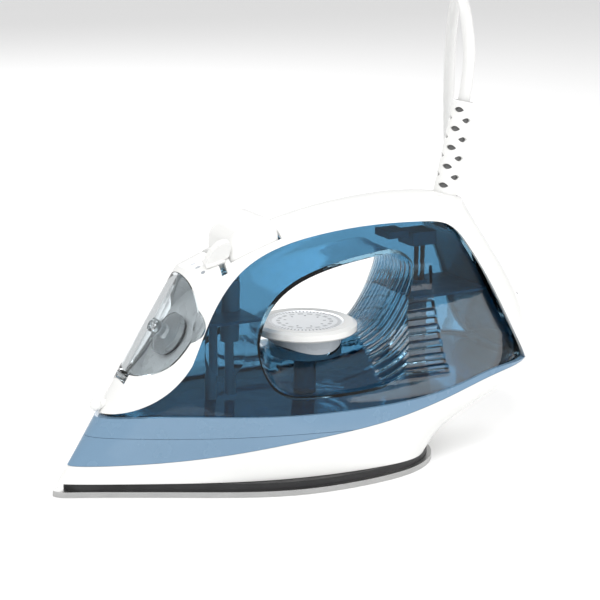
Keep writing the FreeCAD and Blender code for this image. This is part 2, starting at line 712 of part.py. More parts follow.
def rear_cover_box(grow):
    """The panel of the back that comes off."""
    half = 15.0 * WIDTH_SCALE + grow
    low = fz(66) - grow
    box = Part.makeBox(140, 2 * half, fz(64) + 2 * grow, Vector(fx(118), -half, low))
    return box.makeFillet(4.0, [edge for edge in box.Edges if abs(edge.tangentAt(0).x) > 0.99])


def cover_screw_axis():
    """Where the rear cover's screw enters, and its direction."""
    return Vector(fx(194.5), 0, fz(78)), Vector(-1, 0, 0)


def make_tank():
    """Clear tank that carries the handle's lower half, its baffles and the plate under it."""
    recess = size("tank_recess")
    wall = size("tank_wall")
    form = skin(TANK_INSET, recess).common(roof(TANK_INSET))
    hollow = skin(TANK_INSET + wall, recess).common(roof(TANK_INSET + wall))
    tank = form.common(below_frame(TANK_LAP)).cut(below(LEDGE, -TANK_LAP)).cut(opening_form())
    cavity = hollow.cut(below(LEDGE, -TANK_LAP + wall)).cut(opening_form(wall))
    closed = largest(cavity.common(below_frame(TANK_LAP - 5.0)))
    passage = cavity.common(Part.makeBox(fx(160), 2 * REACH, 80, Vector(fx(-24), -REACH, fz(104))))
    tank = tank.cut(closed).cut(passage)
    tank = tank.cut(cylinder(size("spindle_tube_radius") + 0.1, DIAL_X, 0, 0, fz(60)))
    tank = tank.cut(cylinder(size("collar_radius") + 0.1, DIAL_X, 0, fz(60), fz(90)))
    tank = tank.cut(cylinder(1.0, NEEDLE_X, 0, 0, fz(60)))
    tank = tank.cut(cylinder(size("duct_radius") + 0.1, WIRE_X, 0, 0, fz(60)))
    throat = place_on_window(STOPPER_S, 10.0)
    tank = tank.cut(inward_cylinder(size("stopper_radius") + size("throat_wall") + 0.3, throat, 22))
    tank = tank.cut(window_prism(0.3, -12.0, BOWL_FLOOR + size("bowl_wall") + 0.3))
    tank = tank.cut(hose_tube(size("hose_radius") + 0.3))
    tank = tank.cut(nozzle_bore()).cut(button_well())
    tank = tank.cut(Part.makeCylinder(size("swivel_radius") + 3.3, 30,
                                      Vector(SWIVEL_X, 0, SWIVEL_Z) - swivel_direction() * 10,
                                      swivel_direction()))
    tank = largest(tank)
    feature("water_tank", tank)
    clear = skin(TANK_INSET + wall + 0.3, recess)
    for label, low, high in (("front_baffle", -40, 10), ("rear_baffle", 110, 176)):
        slab = Part.makeBox(fx(high - low), 2 * REACH, 1.5, Vector(fx(low), -REACH, BAFFLE_FLOOR))
        plate = slab.common(clear).common(below_frame(TANK_LAP - 5.6)).cut(opening_form(wall + 0.3))
        plate = plate.cut(cylinder(size("pump_radius") + 0.1, PUMP_X, 0, 0, 200))
        plate = plate.cut(cylinder(size("needle_radius") + 0.3, NEEDLE_X, 0, 0, 200))
        plate = plate.cut(cylinder(size("duct_radius") + 0.1, WIRE_X, 0, 0, 200))
        plate = plate.cut(inward_cylinder(size("stopper_radius") + size("throat_wall") + 0.3,
                                          throat, 24))
        plate = plate.cut(window_prism(0.1, -12.0, BOWL_FLOOR + size("bowl_wall") + 0.5))
        feature(label, largest(plate))
    plate = skin(SHELL + 0.3).common(Part.makeBox(400, 2 * REACH, size("base_plate_thickness"),
                                                  Vector(-150, -REACH, BASE_PLATE_FLOOR)))
    plate = plate.cut(cylinder(size("spindle_radius") + 1.0, DIAL_X, 0, 0, 100))
    plate = plate.cut(cylinder(size("duct_radius") - 1.2, WIRE_X, 0, 0, 100))
    feature("base_plate", plate)


# --------------------------------------------------------------------- dial and thermostat
def make_dial():
    """Dial, its silver insert, the collar under it, the spindle and the thermostat."""
    collar_floor = DECK + 3.0 - size("collar_height")
    dial_floor = DECK + 3.0 + size("dial_lift")
    turned("dial_disc",
           (("0", "0"), ("dial_radius - 1", "0"), ("dial_radius", "1"),
            ("dial_radius", "dial_rim_height"), ("dial_radius - dial_bevel", "dial_height"),
            ("dial_cap_radius + 0.1", "dial_height"),
            ("dial_cap_radius + 0.1", "dial_height - dial_cap_thickness"),
            ("0", "dial_height - dial_cap_thickness")), DIAL_X, dial_floor)
    turned("dial_cap",
           (("0", "dial_height - dial_cap_thickness"),
            ("dial_cap_radius", "dial_height - dial_cap_thickness"),
            ("dial_cap_radius", "dial_height - 0.1"),
            ("dial_cap_radius - 1.5", "dial_height - 0.4"), ("0", "dial_height - 0.6")),
           DIAL_X, dial_floor)
    turned("dial_collar",
           (("spindle_radius + shaft_gap", "0"), ("collar_radius", "0"),
            ("collar_radius", "collar_height"), ("collar_radius - collar_wall", "collar_height"),
            ("collar_radius - collar_wall", "collar_wall"),
            ("spindle_radius + shaft_gap", "collar_wall")), DIAL_X, collar_floor)
    tube = cylinder(size("spindle_tube_radius"), DIAL_X, 0, BASE_PLATE_TOP, collar_floor)
    tube = tube.cut(cylinder(size("spindle_radius") + 1.0, DIAL_X, 0, 0, 200))
    feature("spindle_tube", tube)
    thermostat_top = COVER_TOP + size("thermostat_height")
    spindle = Part.makeCylinder(size("spindle_radius"), dial_floor - thermostat_top - 0.4,
                                Vector(DIAL_X, 0, thermostat_top + 0.4))
    feature("dial_spindle", spindle)
    turned("thermostat", rod_profile("thermostat_radius", "0", "thermostat_height"),
           DIAL_X, COVER_TOP)
    fuse = Part.makeCylinder(2.6, 16, Vector(fx(84), 8, COVER_TOP + 2.6), Vector(0, 1, 0))
    feature("thermal_fuse", fuse)


# -------------------------------------------------------------------- pump and steam valve
PUMP_TOP = fz(110.0)
PUMP_FLOOR = PUMP_TOP - size("pump_length")
TANK_INNER_FLOOR = fz(43.3 - TANK_LAP) + size("tank_wall") + 1.1


def hose_tube(radius):
    """The hose from the pump's foot to the spray nozzle."""
    level = PUMP_FLOOR + 3.0
    side = size("pump_radius")
    points = [(PUMP_X, side, level), (PUMP_X, side + 8, level),
              (PUMP_X - 16, side + 9, level - 6), (fx(-36), 9, fz(55)),
              (fx(-53), 2, fz(NOZZLE_Z) + 1), (fx(-64), 0, fz(NOZZLE_Z)),
              (fx(-70.5), 0, fz(NOZZLE_Z))]
    return tube_along(points, radius)[0]


def under_button(radius):
    """The highest level that a round piece on the pump's axis can reach under the button."""
    lowest = (PUMP_X - radius) / LENGTH_SCALE
    return fz(table((BUTTON_TOP[0], BUTTON_TOP[-1]), lowest)) - 0.05


def make_pump():
    """Spray pump under the button, with plunger, spring, suction tube, hose and nozzle."""
    turned("pump_cylinder",
           (("0", "0"), ("pump_radius", "0"), ("pump_radius", "pump_length"),
            ("pump_bore_radius", "pump_length"), ("pump_bore_radius", "2"), ("0", "2")),
           PUMP_X, PUMP_FLOOR)
    piston_floor = PUMP_TOP - 14.0
    rod = cylinder(size("rod_radius"), PUMP_X, 0, piston_floor + 5,
                   under_button(size("rod_radius")))
    piston = cylinder(size("pump_bore_radius") - size("shaft_gap"), PUMP_X, 0, piston_floor,
                      piston_floor + 5)
    feature("pump_plunger", rod.fuse(piston).removeSplitter())
    spring = cylinder(size("spring_radius"), PUMP_X, 0, PUMP_TOP,
                      under_button(size("spring_radius")))
    spring = spring.cut(cylinder(size("spring_radius") - size("spring_wire"), PUMP_X, 0, 0, 200))
    feature("return_spring", spring)
    suction = cylinder(size("suction_tube_radius"), PUMP_X, 0, TANK_INNER_FLOOR + 1.5, PUMP_FLOOR)
    feature("suction_tube", suction.cut(cylinder(size("suction_tube_bore"), PUMP_X, 0, 0, 200)))
    feature("spray_hose", hose_tube(size("hose_radius")))
    turned("spray_nozzle",
           (("0", "0"), ("nozzle_stem_radius", "0"), ("nozzle_stem_radius", "7"),
            ("nozzle_radius", "8.2"), ("nozzle_radius", "10.2"),
            ("nozzle_radius - 1.4", "12.2"), ("0", "12.6")),
           fx(-70.5), fz(NOZZLE_Z), 0.0, -90.0)


def make_steam_valve():
    """Steam lever on its pivot, the needle that it lifts and the needle's guide."""
    pivot = Vector(LEVER_X, 0, LEVER_PIVOT_Z)
    half = size("lever_thickness") / 2
    top = LEVER_PIVOT_DROP
    slot = size("lever_slot_width") / 2 - 0.3
    fall = LEVER_PIVOT_DROP - 1.6
    tall = top + size("lever_fin_height")
    outline = ((-slot, 0), (slot, 0), (slot, top + 1.2), (4.4, top + 3.5), (4.4, tall - 2.6),
               (3.0, tall), (0.0, tall + 0.6), (-3.6, tall - 0.8), (-6.6, tall - 4.6),
               (-8.6, tall - 10.0), (-9.0, fall), (-slot, top), (-slot, 0))
    corners = [Vector(x, -half, z) for x, z in outline]
    fin = Part.Face(Part.makePolygon(corners)).extrude(Vector(0, 2 * half, 0))
    hub = Part.makeCylinder(4.0, 7.0, Vector(-3.5, 0, 0), Vector(1, 0, 0))
    foot_at = Vector(-9.0, 0, 0)
    saddle = Part.makeCone(fall + 1.0, top + 2.4, 10.8, foot_at, Vector(1, 0, 0))
    saddle = saddle.cut(Part.makeCone(fall, top + 1.2, 10.8, foot_at, Vector(1, 0, 0)))
    saddle = saddle.common(Part.makeBox(30, 7.0, 60, Vector(-15, -3.5, 0)))
    lever = fin.fuse(hub).fuse(saddle).removeSplitter()
    lever = lever.cut(Part.makeCylinder(1.5 + size("shaft_gap"), 20, Vector(-10, 0, 0),
                                        Vector(1, 0, 0)))
    lever.Placement = Placement(pivot, Rotation(Vector(1, 0, 0), LEVER_TILT))
    feature("steam_lever", lever)
    pin = Part.makeCylinder(1.5, 10.0, Vector(LEVER_X - 5.5, 0, LEVER_PIVOT_Z), Vector(1, 0, 0))
    feature("lever_pin", pin)
    hub_foot = LEVER_PIVOT_Z - 4.0
    needle = cylinder(size("needle_radius"), NEEDLE_X, 0, TANK_INNER_FLOOR + 2.5, hub_foot - 2.2)
    feature("steam_needle", needle)
    guide = cylinder(size("guide_radius"), NEEDLE_X, 0, TANK_INNER_FLOOR, BAFFLE_FLOOR - 0.3)
    guide = guide.cut(cylinder(size("needle_radius") + size("shaft_gap"), NEEDLE_X, 0, 0, 200))
    feature("needle_guide", guide)


# ---------------------------------------------------------------------- filling door
def make_filling_door(door_skin):
    """Clear door on the nose, its stopper and seal, hinge pin and the filling throat."""
    inward = window_frame()[2]
    hinge = place_on_window(HINGE_S, HINGE_DEPTH)
    eye = cross_cylinder(HINGE_EYE_RADIUS, hinge, HINGE_EYE_HALF)
    pin = cross_cylinder(size("door_pin_radius"), hinge, HINGE_PIN_HALF)
    pin_bore = cross_cylinder(size("door_pin_radius") + size("shaft_gap"), hinge, 20)
    inside = skin(0.8)
    stem = Part.makeCylinder(4.0, STOPPER_DEPTH - 1.0, place_on_window(STOPPER_S, 1.0), inward)
    stem = stem.common(inside)
    door = door_skin.fuse([eye, stem]).removeSplitter().cut(pin_bore)
    feature("filling_door", largest(door))
    feature("door_pin", pin)
    start = place_on_window(STOPPER_S, STOPPER_DEPTH)
    disc = Part.makeCylinder(size("stopper_radius"), size("stopper_thickness"), start, inward)
    feature("filler_stopper", disc)
    seal_at = place_on_window(STOPPER_S, STOPPER_DEPTH + size("stopper_thickness") + size("seal_radius"))
    seal = Part.makeTorus(size("stopper_radius") - 2.0, size("seal_radius"), seal_at, inward)
    feature("filler_seal", seal)
    lip = place_on_window(STOPPER_S, BOWL_FLOOR)
    wall = size("bowl_wall")
    bowl = window_prism(0.6, -12.0, BOWL_FLOOR + wall)
    bowl = bowl.cut(window_prism(0.6 + wall, -13.0, BOWL_FLOOR)).common(skin(SHELL + 1.4))
    bowl = bowl.cut(cross_cylinder(HINGE_DEPTH + 1.6, hinge, HINGE_EYE_HALF + 4.4))
    outside = size("stopper_radius") + size("throat_wall")
    throat = Part.makeCylinder(outside, 8.0, lip, inward)
    throat = largest(bowl).fuse(throat).removeSplitter()
    throat = throat.cut(Part.makeCylinder(size("stopper_radius") - 4.0, 10.0, lip - inward, inward))
    feature("filling_throat", throat)


# ------------------------------------------------------------------------ cord and plug
SWIVEL_X = fx(141.5)
SWIVEL_Z = fz(table(ROOF_LINE, 141.5)) - 11.0


def swivel_direction():
    """The cord sleeve's axis: up and back."""
    lean = math.radians(size("sleeve_lean"))
    return Vector(math.sin(lean), 0, math.cos(lean))


def swivel_bore(radius):
    """A bore through the handle's crown for the cord sleeve."""
    axis = swivel_direction()
    return Part.makeCylinder(radius, 40, Vector(SWIVEL_X, 0, SWIVEL_Z), axis)


SLEEVE_START = 12.0              # sleeve axis from the ball's centre to the crown


def make_cord_sleeve(inside):
    """Ball and slotted sleeve that turn together in a two-sided socket."""
    bore = size("cord_diameter") / 2 + size("cord_gap")
    axis = swivel_direction()
    centre = Vector(SWIVEL_X, 0, SWIVEL_Z)
    ball = Part.makeSphere(size("swivel_radius"), centre)
    keep = Part.makeCylinder(20, 14, centre - axis * 7.0, axis)
    ball = ball.common(keep).cut(Part.makeCylinder(bore, 60, centre - axis * 30, axis))
    feature("swivel_ball", ball)
    top = SLEEVE_START + size("sleeve_length")
    start = 7.0
    cone = Part.makeCone(size("sleeve_foot_radius"), size("sleeve_tip_radius"), top - start,
                         centre + axis * start, axis)
    cone = cone.cut(Part.makeCylinder(bore, top + 10, centre, axis))
    slots = []
    for k in range(9):
        height = SLEEVE_START + 5.0 + 5.0 * k
        slot = Part.makeBox(20, 5.4, 1.9, Vector(-10, -2.7, -0.95))
        turn = Rotation(Vector(0, 0, 1), axis)
        slot.Placement = Placement(centre + axis * height, turn.multiply(
            Rotation(Vector(0, 0, 1), 90 if k % 2 else 0)))
        slots.append(slot)
    feature("cord_sleeve", cone.cut(Part.makeCompound(slots)))
    socket = Part.makeCylinder(size("swivel_radius") + 3.0, 11.0, centre - axis * 5.5, axis)
    socket = socket.cut(Part.makeSphere(size("swivel_radius") + 0.3, centre)).common(inside)
    feature("swivel_socket", socket)
    return centre + axis * top


# The cord's route after its first straight run out of the sleeve, and the put-away coil.
CORD_ROUTE = ((164.5, 14, 245), (178, 42, 256), (192, 70, 247), (202, 89, 219),
              (208, 98, 178), (213, 102, 132), (217, 101, 86), (217, 97, 51),
              (204, 91.5, 17), (175, 90.5, 3.5), (149, 90.5, 3.5))
COIL_X = 124.0
COIL_Y = 134.0
COIL_Z = 0.0
PLUG_Y = 92.0
PLUG_Z = 18.0
PLUG_MOUTH_X = 62.0


def make_cord(tip):
    """Mains cord: up out of its sleeve, down behind the heel to a put-away coil and its plug."""
    axis = swivel_direction()
    radius = size("cord_diameter") / 2
    start = tip - axis * 6.0
    route = [tuple(start), tuple(tip + axis * 20.0)] + list(CORD_ROUTE)
    tube, length, tightest = tube_along(route, radius)
    section = math.pi * radius * radius
    print("cord: length %.1f, tightest bend %.1f, volume over section x length %.4f"
          % (length, tightest, tube.Volume / (section * length)))
    feature("mains_cord", tube)
    band = size("coil_columns") * size("cord_diameter") / 2
    inside = size("coil_mean_radius") - band
    outside = size("coil_mean_radius") + band
    height = size("coil_layers") * size("cord_diameter")
    coil = Part.makeCylinder(outside, height, Vector(COIL_X, COIL_Y, COIL_Z))
    coil = coil.cut(Part.makeCylinder(inside, height, Vector(COIL_X, COIL_Y, COIL_Z)))
    end = Vector(*CORD_ROUTE[-1])
    lead_in = Part.makeCylinder(radius, end.x - COIL_X, Vector(COIL_X, end.y, end.z), Vector(1, 0, 0))
    coil = coil.fuse(lead_in)
    boot = Vector(PLUG_MOUTH_X, PLUG_Y, PLUG_Z)
    route = [(COIL_X - 8, COIL_Y - size("coil_mean_radius") - 7.0, 10.5),
             (COIL_X - 34, PLUG_Y, PLUG_Z), tuple(boot)]
    tail, tail_length, _ = tube_along(route, radius)
    print("tail: length %.1f" % tail_length)
    coil = coil.fuse(tail).removeSplitter()
    feature("cord_coil", coil)
    west = Rotation(Vector(0, 1, 0), -90)
    plug = turned("plug_body",
                  (("0", "0"), ("plug_boot_radius", "0"), ("plug_boot_radius + 2", "plug_boot_length"),
                   ("plug_radius", "plug_boot_length + 7"),
                   ("plug_radius", "plug_boot_length + plug_length"),
                   ("0", "plug_boot_length + plug_length")))
    plug.Placement = Placement(boot, west)
    face_x = PLUG_MOUTH_X - size("plug_boot_length") - size("plug_length")
    pins = []
    for side in (-1, 1):
        place = Vector(face_x, PLUG_Y + side * size("pin_spacing") / 2, PLUG_Z)
        pins.append(Part.makeCylinder(size("pin_radius"), size("pin_length"), place,
                                      Vector(-1, 0, 0)))
    feature("plug_pins", Part.makeCompound(pins))


# ---------------------------------------------------------------------- inside the handle
def make_wiring():
    """Terminal block, cord clamp, leads in their sealed duct, and screws."""
    block = Part.makeBox(16, 16, 8, Vector(WIRE_X - 9, -8, fz(119)))
    feature("terminal_block", block)
    clamp = Part.makeBox(13, 16, 4, Vector(fx(101), -8, fz(125)))
    feature("cord_clamp", clamp)
    duct_top = BAFFLE_FLOOR + 6.0
    duct = cylinder(size("duct_radius"), WIRE_X, 0, BASE_PLATE_TOP, duct_top)
    duct = duct.cut(cylinder(size("duct_radius") - 1.2, WIRE_X, 0, 0, 200))
    feature("wire_duct", duct)
    leads = []
    spread = size("duct_radius") - 1.4 - size("wire_radius") - 0.4
    for k in range(3):
        angle = math.radians(90 + 120 * k)
        leads.append(cylinder(size("wire_radius"), WIRE_X + spread * math.cos(angle),
                              spread * math.sin(angle), COVER_TOP + 3.0, fz(119)))
    feature("mains_leads", Part.makeCompound(leads))
    start, direction = cover_screw_axis()
    shank = Part.makeCylinder(size("screw_radius"), size("screw_length"), start, direction)
    head = Part.makeCylinder(size("screw_head_radius"), 1.8, start - direction * 1.8, direction)
    feature("cover_screw", shank.fuse(head).removeSplitter())
    screws = []
    for x, y in ((-56, 0), (86, -34), (86, 34)):
        foot = Vector(fx(x), y * WIDTH_SCALE, COVER_TOP)
        shank = Part.makeCylinder(size("screw_radius"), BASE_PLATE_FLOOR - COVER_TOP, foot)
        screws.append(shank)
    feature("sole_screws", Part.makeCompound(screws))


make_soleplate()
make_heater()
feature("spray_button", button_form())
inner_form, door_form = make_shells()
make_tank()
make_dial()
make_pump()
make_steam_valve()
make_filling_door(door_form)
sleeve_tip = make_cord_sleeve(inner_form)
make_cord(sleeve_tip)
make_wiring()
doc.recompute()

# ------------------------------------------------------------------------ write the pieces
KEPT_TYPES = ("PartDesign::Body", "Part::Feature")
pieces = [item for item in doc.Objects if item.TypeId in KEPT_TYPES]
for item in doc.Objects:
    if "Invalid" in item.State or "Error" in item.State:
        raise RuntimeError("%s did not recompute: %s" % (item.Label, item.State))
faulty = [item.Label for item in pieces if item.Shape.isNull() or not item.Shape.isValid()]
if faulty:
    raise RuntimeError("no valid shape: " + ", ".join(faulty))
for item in pieces:
    item.Shape.exportStep("parts/%s.step" % item.Label)
    print("%-22s %2d solid(s) %10.1f mm3" % (item.Label, len(item.Shape.Solids), item.Shape.Volume))
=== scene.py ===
"""Steam iron: finishes, cord, slotted sleeve, springs and small details on the packed frame.

Metres throughout.  Ironing face z = 0, nose towards -X, heel towards +X, y = 0 in the middle.
"""
import math

import bmesh
import bpy
import numpy as np
from bpy.props import FloatProperty, FloatVectorProperty, IntProperty, PointerProperty
from bpy.types import Operator, Panel, PropertyGroup
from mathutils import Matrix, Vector


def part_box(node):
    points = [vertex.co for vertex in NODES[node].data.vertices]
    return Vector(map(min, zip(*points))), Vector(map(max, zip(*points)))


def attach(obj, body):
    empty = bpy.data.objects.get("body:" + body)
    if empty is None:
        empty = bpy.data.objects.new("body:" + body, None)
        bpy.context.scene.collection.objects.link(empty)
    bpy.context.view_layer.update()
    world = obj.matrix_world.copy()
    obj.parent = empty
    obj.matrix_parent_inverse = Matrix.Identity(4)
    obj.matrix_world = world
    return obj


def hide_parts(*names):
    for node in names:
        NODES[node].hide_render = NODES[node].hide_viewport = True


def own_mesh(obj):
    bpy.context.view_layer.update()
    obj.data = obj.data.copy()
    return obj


bl_info = {
    "name": "Steam Iron",
    "version": (1, 0, 0),
    "blender": (4, 5, 0),
    "location": "View3D > Sidebar > Iron",
    "description": "Finishes and details of a steam iron",
    "category": "Object",
}

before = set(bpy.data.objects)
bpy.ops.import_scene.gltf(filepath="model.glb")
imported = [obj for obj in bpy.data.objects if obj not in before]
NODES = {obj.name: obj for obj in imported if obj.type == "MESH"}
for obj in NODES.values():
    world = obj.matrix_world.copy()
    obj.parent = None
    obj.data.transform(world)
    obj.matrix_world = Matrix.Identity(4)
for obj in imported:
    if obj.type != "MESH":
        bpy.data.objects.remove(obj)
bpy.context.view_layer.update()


def middle(node):
    """Middle of a node's box at rest."""
    low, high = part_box(node)
    return (Vector(low) + Vector(high)) / 2


# ------------------------------------------------------------------------------- sizes
SLEEVE_LEAN = math.radians(12.0)
SLEEVE_AXIS = Vector((math.sin(SLEEVE_LEAN), 0.0, math.cos(SLEEVE_LEAN)))
SLEEVE_ACROSS = Vector((math.cos(SLEEVE_LEAN), 0.0, -math.sin(SLEEVE_LEAN)))
SWIVEL = Vector((0.1415, 0.0, 0.137165))
CROWN = 0.012                    # from the swivel's centre to the top of the handle
SLEEVE_TOP = 0.064               # from the swivel's centre to the sleeve's free end
SLEEVE_FOOT = 0.0085              # from the swivel's centre to the sleeve's lower end
SLEEVE_FOOT_RADIUS = 0.0070
SLEEVE_TIP_RADIUS = 0.0063
SLEEVE_BORE_RADIUS = 0.00392
COIL_MIDDLE = Vector((0.124, 0.134, 0.0))
COIL_POINTS = 16                  # control points in each turn
COIL_COLUMNS = (1, 0, -1, -1, 0, 1)              # where each turn lies, in cord widths outwards
COIL_LEVELS = (0.5, 0.5, 0.5, 1.5, 1.5, 1.5)     # and upwards
COIL_CROSSING = 0.30              # share of a turn in which the cord crosses to the next one
CORD_HIDDEN = 0.006               # cord inside the sleeve's free end
CORD_STRAIGHT = 0.020             # straight cord past the sleeve's free end

# The cord's route from the sleeve's free end to where it joins the put-away coil.
CORD_ROUTE = (
    (0.1645, 0.014, 0.245), (0.178, 0.042, 0.256), (0.192, 0.070, 0.247),
    (0.202, 0.089, 0.219), (0.208, 0.098, 0.178), (0.213, 0.102, 0.132),
    (0.217, 0.101, 0.086), (0.217, 0.097, 0.051), (0.204, 0.0915, 0.017),
    (0.175, 0.0905, 0.0035), (0.149, 0.0905, 0.0035),
)

# The cord's end from the coil to the plug.
CORD_TAIL = ((0.116, 0.0905, 0.0105), (0.090, 0.092, 0.018), (0.062, 0.092, 0.018))

AIM = Vector((0.0, 0.0, 0.07))    # where the camera looks
LENS = 127.9                      # millimetres, as are the sensor's
SENSOR = 36.0
SHIFT = (0.1247, 0.0837)
LAMP_AIM = Vector((0.03, 0.0, 0.07))
# name, place, width, share of the key light's power
LIGHTS = (
    ("key", (-0.7, -0.9, 1.3), 0.9, 1.0),
    ("fill", (1.0, -0.8, 0.7), 0.8, 0.35),
    ("back", (0.3, 1.2, 1.0), 1.0, 0.5),
)


class IronShells(PropertyGroup):
    """Colours of the moulded shells."""
    white: FloatVectorProperty(name="White", description="Handle, skirt and button",
                               subtype="COLOR", size=3, default=(0.80, 0.80, 0.785))
    blue: FloatVectorProperty(name="Blue", description="Band under the tank",
                              subtype="COLOR", size=3, default=(0.155, 0.265, 0.385))
    tank: FloatVectorProperty(name="Tank", description="Tint of the clear tank",
                              subtype="COLOR", size=3, default=(0.25, 0.46, 0.60))
    window: FloatVectorProperty(name="Window", description="Clear filling door",
                                subtype="COLOR", size=3, default=(0.86, 0.90, 0.92))
    gloss: FloatProperty(name="Roughness", description="Roughness of the glossy shells",
                         min=0.02, max=0.8, default=0.17, subtype="FACTOR")


class IronMetals(PropertyGroup):
    """Colours of soleplate, castings and fasteners."""
    sole: FloatVectorProperty(name="Soleplate", description="Soleplate and its rim",
                              subtype="COLOR", size=3, default=(0.46, 0.46, 0.455))
    silver: FloatVectorProperty(name="Dial insert", description="Silver insert of the dial",
                                subtype="COLOR", size=3, default=(0.62, 0.64, 0.66))
    steel: FloatVectorProperty(name="Steel", description="Pins, screws and springs",
                               subtype="COLOR", size=3, default=(0.55, 0.55, 0.56))


class IronCord(PropertyGroup):
    """Sizes of the mains cord."""
    thickness: FloatProperty(name="Diameter", description="Diameter of the cord",
                             default=0.007, unit="LENGTH", min=0.004, max=0.012)
    length: FloatProperty(name="Length", description="Length from sleeve to plug",
                          default=1.86, unit="LENGTH", min=0.5, max=4.0)
    coil_radius: FloatProperty(name="Coil radius", description="Middle of the coil's turns",
                               default=0.0365, unit="LENGTH", min=0.02, max=0.1)
    columns: IntProperty(name="Columns", description="Turns side by side", default=3, min=1,
                         max=3)
    layers: IntProperty(name="Layers", description="Turns on each other", default=2, min=1,
                        max=2)
    jacket: FloatVectorProperty(name="Jacket", description="Colour of the cord", subtype="COLOR",
                                size=3, default=(0.74, 0.74, 0.73))


class IronDetails(PropertyGroup):
    """Sizes of the small details."""
    slot_depth: FloatProperty(name="Slot depth", description="Slots of the cord sleeve",
                              default=0.0019, unit="LENGTH", min=0.0, max=0.0025)
    slot_pitch: FloatProperty(name="Slot pitch", description="Slots along the cord sleeve",
                              default=0.0111, unit="LENGTH", min=0.005, max=0.02)
    spring_turns: FloatProperty(name="Spring turns", description="Turns of the button's spring",
                                default=5.0, min=2.0, max=12.0)
    rib_pitch: FloatProperty(name="Rib pitch", description="Ribs of the tank behind the dial",
                             default=0.0034, unit="LENGTH", min=0.001, max=0.01)


class IronStudio(PropertyGroup):
    """Floor, lights and camera."""
    floor: FloatVectorProperty(name="Floor", description="Colour of the floor", subtype="COLOR",
                               size=3, default=(0.94, 0.94, 0.94))
    surround: FloatProperty(name="Surround", description="Brightness of the surround",
                            default=0.72, min=0.0, max=4.0)
    key: FloatProperty(name="Key light", description="Power of the key light", subtype="POWER",
                       default=15.0, min=0.0)
    azimuth: FloatProperty(name="Azimuth", description="Camera's turn round the iron",
                           subtype="ANGLE", unit="ROTATION", default=math.radians(-27.0))
    elevation: FloatProperty(name="Elevation", description="Camera above the horizon",
                             subtype="ANGLE", unit="ROTATION", default=math.radians(16.0))
    distance: FloatProperty(name="Distance", description="Camera from the iron", unit="LENGTH",
                            default=1.2, min=0.3)


# ------------------------------------------------------------------------------ shading
class Shade:
    """A number that varies over a surface; arithmetic on it adds Math nodes."""

    def __init__(self, finish, socket):
        self.finish = finish
        self.socket = socket

    def maths(self, operation, *values):
        inputs = dict(enumerate(values))
        node = self.finish.node("ShaderNodeMath", {"operation": operation}, inputs)
        return Shade(self.finish, node.outputs[0])

    def __add__(self, other):
        return self.maths("ADD", self, other)

    def __sub__(self, other):
        return self.maths("SUBTRACT", self, other)

    def __rsub__(self, other):
        return self.maths("SUBTRACT", other, self)

    def __mul__(self, other):
        return self.maths("MULTIPLY", self, other)

    def __rmul__(self, other):
        return self.maths("MULTIPLY", other, self)

    def __truediv__(self, other):
        return self.maths("DIVIDE", self, other)

    def __abs__(self):
        return self.maths("ABSOLUTE", self)

    def __mod__(self, other):
        return self.maths("FLOORED_MODULO", self, other)

    def root(self):
        return self.maths("SQRT", self)

    def most(self, other):
        return self.maths("MAXIMUM", self, other)

    def above(self, edge, blur):
        """0 below the edge and 1 above it, with a soft step as wide as blur."""
        node = self.finish.node("ShaderNodeMapRange", {"interpolation_type": "SMOOTHSTEP"}, {
            "Value": self, "From Min": edge - blur / 2, "From Max": edge + blur / 2})
        return Shade(self.finish, node.outputs["Result"])

    def below(self, edge, blur):
        """1 below the edge and 0 above it."""
        return 1 - self.above(edge, blur)


